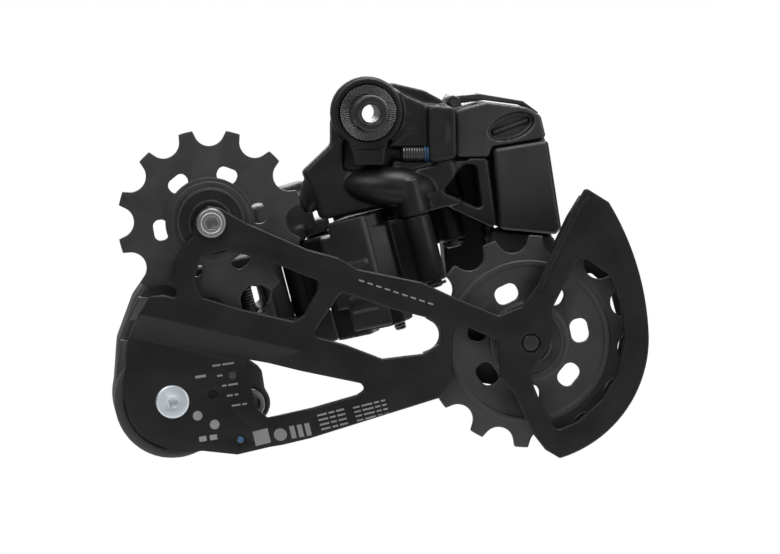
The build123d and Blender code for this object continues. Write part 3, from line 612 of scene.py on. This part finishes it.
# The spring behind the lock button, which shortens towards its seat as the button goes in, gets a mesh
# of its own; this script does not move or shorten it.
spring = bpy.data.objects.new("lock_spring_coil", nodes["lock_spring"].data.copy())
bpy.context.scene.collection.objects.link(spring)
settle(spring)
dress(spring, "lock_spring")
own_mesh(spring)

# ---------------------------------------------------------------- threads and steel
OUTBOARD = (0, 1, 0)
THREAD_DOWN = (sin(LINK_TILT), 0, -cos(LINK_TILT))


def centre_of(node):
    """Middle of a node's box in mm."""
    low_corner, high_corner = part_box(node)
    return (Vector(low_corner) + Vector(high_corner)) / (2 * MM)


thread("hanger_thread", (0, -8.3, 0), OUTBOARD, 5.0, 1.0, 7.6, 0.04, "bolt_black", "hanger_bolt")
for name, x, radius, length, height, finish_name in (
    ("b_adjust_thread", 9.9, 2.0, 12.4, 0.16, "dark_steel"),
    ("b_adjust_patch", 15.4, 2.03, 4.2, 0.2, "blue_patch"),
):
    start = (x, B_SCREW_Y, B_SCREW_Z)
    thread(name, start, (1, 0, 0), radius, B_SCREW_PITCH, length, height, finish_name, "b_adjust_screw")

teeth = bmesh.new()
TOOTH_COUNT = 72
RING_IN, RING_OUT, RING_BACK = 5.15, 7.62, 0.9
corners = []
for k in range(2 * TOOTH_COUNT):
    angle = pi * k / TOOTH_COUNT
    face_y = 0.02 if k % 2 else 0.4
    column = []
    back_rim = ((RING_OUT, RING_BACK), (RING_IN, RING_BACK))
    for radius, y in ((RING_IN, face_y + 0.1), (RING_OUT, face_y), *back_rim):
        column.append(teeth.verts.new(Vector((radius * cos(angle), y, radius * sin(angle))) * MM))
    corners.append(column)
for first, second in zip(corners, corners[1:] + corners[:1]):
    for k in range(4):
        after = (k + 1) % 4
        teeth.faces.new((first[k], first[after], second[after], second[k]))
bmesh.ops.recalc_face_normals(teeth, faces=teeth.faces)
add_object(
    "ring_teeth",
    teeth,
    "ring_steel",
    "hanger_bolt",
    sharp=radians(12),
    stands_for=("serrated_ring",),
)

lathe(
    "bolt_lip",
    [(-0.12, 2.9), (-0.3, 3.4), (-0.3, 4.3), (-0.1, 4.75), (0.3, 4.95), (0.3, 2.6)],
    (0, BOLT_LIP_Y, 0),
    OUTBOARD,
    "bolt_black",
    "hanger_bolt",
)
lathe(
    "boss_pin",
    [
        (-0.1, 0.05),
        (-0.1, 0.75),
        (0.15, 0.95),
        (0.15, 1.2),
        (-0.08, 1.3),
        (-0.08, 1.6),
        (0.6, 1.7),
        (0.6, 0.05),
    ],
    (11.2, 4.5, -1.5),
    OUTBOARD,
    "cast_black",
    "b_knuckle",
    steps=48,
)
for side, centre in (("upper", UPPER), ("lower", LOWER)):
    middle_mm = centre / MM
    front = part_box(side + "_shields")[0][1] / MM
    lathe(
        side + "_seal_lip",
        [(-0.25, 8.5), (-0.3, 8.9), (0.1, 9.2), (0.1, 8.2)],
        (middle_mm.x, front, middle_mm.z),
        OUTBOARD,
        "button_rubber",
        "cage",
    )
    lathe(
        side + "_seal_ring",
        [(-0.12, 5.4), (-0.16, 5.9), (0.1, 6.1), (0.1, 5.2)],
        (middle_mm.x, front, middle_mm.z),
        OUTBOARD,
        "dark_steel",
        "cage",
    )
bolt_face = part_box("upper_pulley_bolt")[0][1] / MM
# The ring on the upper pulley bolt is lighter steel, a painted reflection.
lathe(
    "upper_bolt_groove",
    [(-0.06, 2.55), (-0.14, 2.7), (-0.06, 2.85), (0.1, 2.85), (0.1, 2.55)],
    (UPPER.x / MM, bolt_face, UPPER.z / MM),
    OUTBOARD,
    "steel_painted_reflection",
    "cage",
)
# The low limit screw's thread is lighter steel, a painted reflection; the high one keeps plain dark
# steel.
for name, radius, reach, length, finish_name in (
    ("low_limit_screw", 1.5, 6.2, 12.0, "steel_painted_reflection"),
    ("high_limit_screw", 1.5, 2.0, 4.0, "dark_steel"),
):
    start = centre_of(name) - Vector(THREAD_DOWN) * reach
    thread(name + "_thread", start, THREAD_DOWN, radius, 0.8, length, 0.2, finish_name, BODY_OF[name])


# ---------------------------------------------------------------- plain print on the cage
plate_tree = BVHTree.FromPolygons(
    [vertex.co.copy() for vertex in nodes["inner_cage_plate"].data.vertices],
    [tuple(face.vertices) for face in nodes["inner_cage_plate"].data.polygons],
)


def on_plate(x, z, lift):
    """Point on the near face of the inner cage plate, lifted a little off it."""
    hit = plate_tree.ray_cast(Vector((x, -40, z)) * MM, Vector((0, 1, 0)))
    return hit[0] - Vector((0, lift, 0)) * MM


def marks(name, outlines):
    """Thin flat plates of print lying on the cage; each outline is a list of (x, z) in mm."""
    shape = bmesh.new()
    for outline in outlines:
        top = [shape.verts.new(on_plate(x, z, 0.05)) for x, z in outline]
        base = [shape.verts.new(on_plate(x, z, -0.03)) for x, z in outline]
        shape.faces.new(top)
        shape.faces.new(base[::-1])
        for k in range(len(outline)):
            after = (k + 1) % len(outline)
            shape.faces.new((top[after], top[k], base[k], base[after]))
    bmesh.ops.recalc_face_normals(shape, faces=shape.faces)
    return add_object(name, shape, "print_grey", "cage")


def dash(x, z, length, tall, slope):
    """Corners of a short bar that starts at (x, z) and runs along the slope."""
    along = Vector((cos(slope), sin(slope)))
    across = Vector((-sin(slope), cos(slope))) * tall / 2
    start, end = Vector((x, z)), Vector((x, z)) + along * length
    return [tuple(start - across), tuple(end - across), tuple(end + across), tuple(start + across)]


def row(x, z, lengths, gap, tall, slope):
    """Dashes one after another on a line."""
    outlines = []
    for length in lengths:
        outlines.append(dash(x, z, length, tall, slope))
        x += (length + gap) * cos(slope)
        z += (length + gap) * sin(slope)
    return outlines


def disc_outline(x, z, radius):
    """Round dot."""
    return [(x + radius * cos(pi * k / 12), z + radius * sin(pi * k / 12)) for k in range(24)]


BAR_SLOPE = radians(-18.5)
ARM_SLOPE = radians(13.5)
PRINT_SLOPE = radians(8)
print_marks = row(-4.4, -44.2, [1.5] * 9, 0.95, 0.42, BAR_SLOPE)
print_marks += row(-48.0, -70.6, [2.9], 0.5, 0.7, PRINT_SLOPE)
PRINT_LINES = ([2.2, 3.2], [1.4], [1.2, 2.6], [1.6, 1.0], [2.4, 1.2])
for k, lengths in enumerate(PRINT_LINES):
    print_marks += row(-43.4 + 1.3 * k, -67.6 - 2.7 * k, lengths, 0.5, 0.5, PRINT_SLOPE)
print_marks += [disc_outline(-47.4, -81.0, 1.3), disc_outline(-42.8, -83.4, 1.3)]
print_marks += row(-47.0, -87.4, [2.0, 2.0], 0.9, 1.4, PRINT_SLOPE)
print_marks += row(-32.2, -87.4, [4.2], 0.9, 4.0, ARM_SLOPE)
print_marks += [disc_outline(-25.2, -86.1, 1.7)]
print_marks += row(-22.6, -85.4, [1.3, 1.3, 1.3], 0.7, 3.4, ARM_SLOPE)
for k in range(4):
    print_marks += row(-15.6 + 0.35 * k, -80.6 - 1.25 * k, [2.6, 1.6, 2.2], 0.5, 0.5, ARM_SLOPE)
    print_marks += row(-6.0 + 0.35 * k, -78.6 - 1.15 * k, [1.8, 3.0, 1.4, 1.2], 0.5, 0.45, ARM_SLOPE)
marks("cage_print", print_marks)

lathe(
    "stop_screw_tip",
    [(-0.3, 0.05), (-0.3, 0.62), (-0.12, 0.8), (0.2, 0.8), (0.2, 0.05)],
    (STOP_SCREW_X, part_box("cage_stop_screw")[0][1] / MM, STOP_SCREW_Z),
    OUTBOARD,
    "blue_patch",
    "cage",
    steps=32,
)


def bead(name, points, width, height):
    """Low ridge pressed into the cage along a line of (x, z) points in mm."""
    shape = bmesh.new()
    line = [Vector(point) for point in points]
    sections = []
    for k, point in enumerate(line):
        along = (line[min(k + 1, len(line) - 1)] - line[max(k - 1, 0)]).normalized()
        across = Vector((-along.y, along.x)) * width / 2
        face_y = on_plate(point.x, point.y, 0.0).y / MM
        section = []
        for share, lift in ((-1.0, -0.1), (-0.4, height), (0.4, height), (1.0, -0.1)):
            spot = point + across * share
            section.append(shape.verts.new(Vector((spot.x, face_y - lift, spot.y)) * MM))
        sections.append(section)
    for first, second in zip(sections, sections[1:]):
        for k in range(4):
            after = (k + 1) % 4
            shape.faces.new((first[k], first[after], second[after], second[k]))
    shape.faces.new(sections[0])
    shape.faces.new(sections[-1][::-1])
    bmesh.ops.recalc_face_normals(shape, faces=shape.faces)
    return add_object(name, shape, "cage_black", "cage")


bead("fin_rim", [(44.6, -47.2), (49.4, -37.0), (54.1, -27.4), (56.0, -24.0), (58.0, -22.2)], 1.5, 0.4)

# Narrow returns folded back along the left edge of the cage, in the lighter housing grey instead of the
# cage black: painted highlight.
FLANGES = [
    [(-61.4, -48.6), (-63.0, -51.6), (-64.4, -54.8)],
    [(-66.0, -60.6), (-66.3, -63.6), (-66.6, -66.6)],
]
FLANGE_PROFILE = (
    (0.9, 0.35),
    (-1.3, 0.35),
    (-2.0, 1.0),
    (-2.0, 3.6),
    (-1.2, 3.6),
    (-1.0, 1.7),
    (0.9, 1.7),
)
for number, edge_points in enumerate(FLANGES):
    flange = bmesh.new()
    sections = []
    for x, z in edge_points:
        face_y = on_plate(x + 1.2, z, 0.0).y / MM
        section = []
        for dx, dy in FLANGE_PROFILE:
            section.append(flange.verts.new(Vector((x + dx, face_y + dy, z)) * MM))
        sections.append(section)
    for first, second in zip(sections, sections[1:]):
        for k in range(len(first)):
            after = (k + 1) % len(first)
            flange.faces.new((first[k], first[after], second[after], second[k]))
    flange.faces.new(sections[0])
    flange.faces.new(sections[-1][::-1])
    bmesh.ops.recalc_face_normals(flange, faces=flange.faces)
    # The housing grey on the flanges is a painted highlight on the folded edge.
    add_object(f"cage_flange_{number}", flange, "housing_grey", "cage")


# ---------------------------------------------------------------- stage, light, camera
def panel(name, size, place, aim, power):
    """Rectangular area light that faces a point."""
    lamp = bpy.data.lights.new(name, "AREA")
    lamp.shape = "RECTANGLE"
    lamp.size, lamp.size_y = size
    lamp.energy = power
    holder = bpy.data.objects.new(name, lamp)
    bpy.context.scene.collection.objects.link(holder)
    holder.location = place
    holder.rotation_mode = "QUATERNION"
    holder.rotation_quaternion = (Vector(aim) - Vector(place)).to_track_quat("-Z", "Y")
    return holder


middle = (low + high) / 2
panel("key", (0.5, 0.5), (-0.35, -0.5, 0.5), middle, 4.6)
panel("fill", (0.4, 0.6), (0.55, -0.5, 0.15), middle, 2.4)
panel("top", (0.5, 0.4), (0.1, 0.0, 0.6), middle, 6.5)
panel("back", (0.6, 0.5), (0.2, 0.6, 0.25), middle, 3.0)

WORLD_LIGHT = 0.34
world = bpy.data.worlds.new("studio")
bpy.context.scene.world = world
world.use_nodes = True
graph = world.node_tree
graph.nodes.clear()
sky = graph.nodes.new("ShaderNodeOutputWorld")
seen = graph.nodes.new("ShaderNodeBackground")
seen.inputs["Color"].default_value = (1, 1, 1, 1)
seen.inputs["Strength"].default_value = 1.0
lit = graph.nodes.new("ShaderNodeBackground")
lit.inputs["Color"].default_value = (0.96, 0.98, 1.0, 1)
lit.inputs["Strength"].default_value = WORLD_LIGHT
ray = graph.nodes.new("ShaderNodeLightPath")
choose = graph.nodes.new("ShaderNodeMixShader")
graph.links.new(ray.outputs["Is Camera Ray"], choose.inputs[0])
graph.links.new(lit.outputs[0], choose.inputs[1])
graph.links.new(seen.outputs[0], choose.inputs[2])
graph.links.new(choose.outputs[0], sky.inputs[0])

FLOOR_SIZE = 0.45
FLOOR_HEIGHT = -0.2
ground = bmesh.new()
bmesh.ops.create_grid(ground, x_segments=8, y_segments=8, size=FLOOR_SIZE)
mesh = bpy.data.meshes.new("floor")
ground.to_mesh(mesh)
ground.free()
floor = bpy.data.objects.new("floor", mesh)
floor.location = (middle.x, 0.0, FLOOR_HEIGHT)
bpy.context.scene.collection.objects.link(floor)
floor.data.materials.append(pale_floor())
floor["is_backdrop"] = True

SCALE = 3.64
FRAME_WIDTH = 780
SENSOR_WIDTH = 36.0
DISTANCE = 1.2
AIM_RIGHT, AIM_UP = 5.9, -44.7
AIM_DEPTH = 0.01
turn, tilt = radians(-5.0), radians(3.5)
right = Vector((cos(turn), sin(turn), 0))
back = Vector((sin(turn) * cos(tilt), -cos(turn) * cos(tilt), sin(tilt)))
up = back.cross(right)
target = right * (AIM_RIGHT * MM) + up * (AIM_UP * MM)
target = target - back * AIM_DEPTH
camera_data = bpy.data.cameras.new("camera")
camera_data.sensor_width = SENSOR_WIDTH
camera_data.lens = SCALE * DISTANCE * 1000 * SENSOR_WIDTH / FRAME_WIDTH
camera = bpy.data.objects.new("camera", camera_data)
bpy.context.scene.collection.objects.link(camera)
camera.location = target + back * DISTANCE
camera.rotation_mode = "QUATERNION"
camera.rotation_quaternion = back.to_track_quat("Z", "Y")
bpy.context.scene.camera = camera
bpy.context.scene.view_settings.view_transform = "Standard"

low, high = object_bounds()
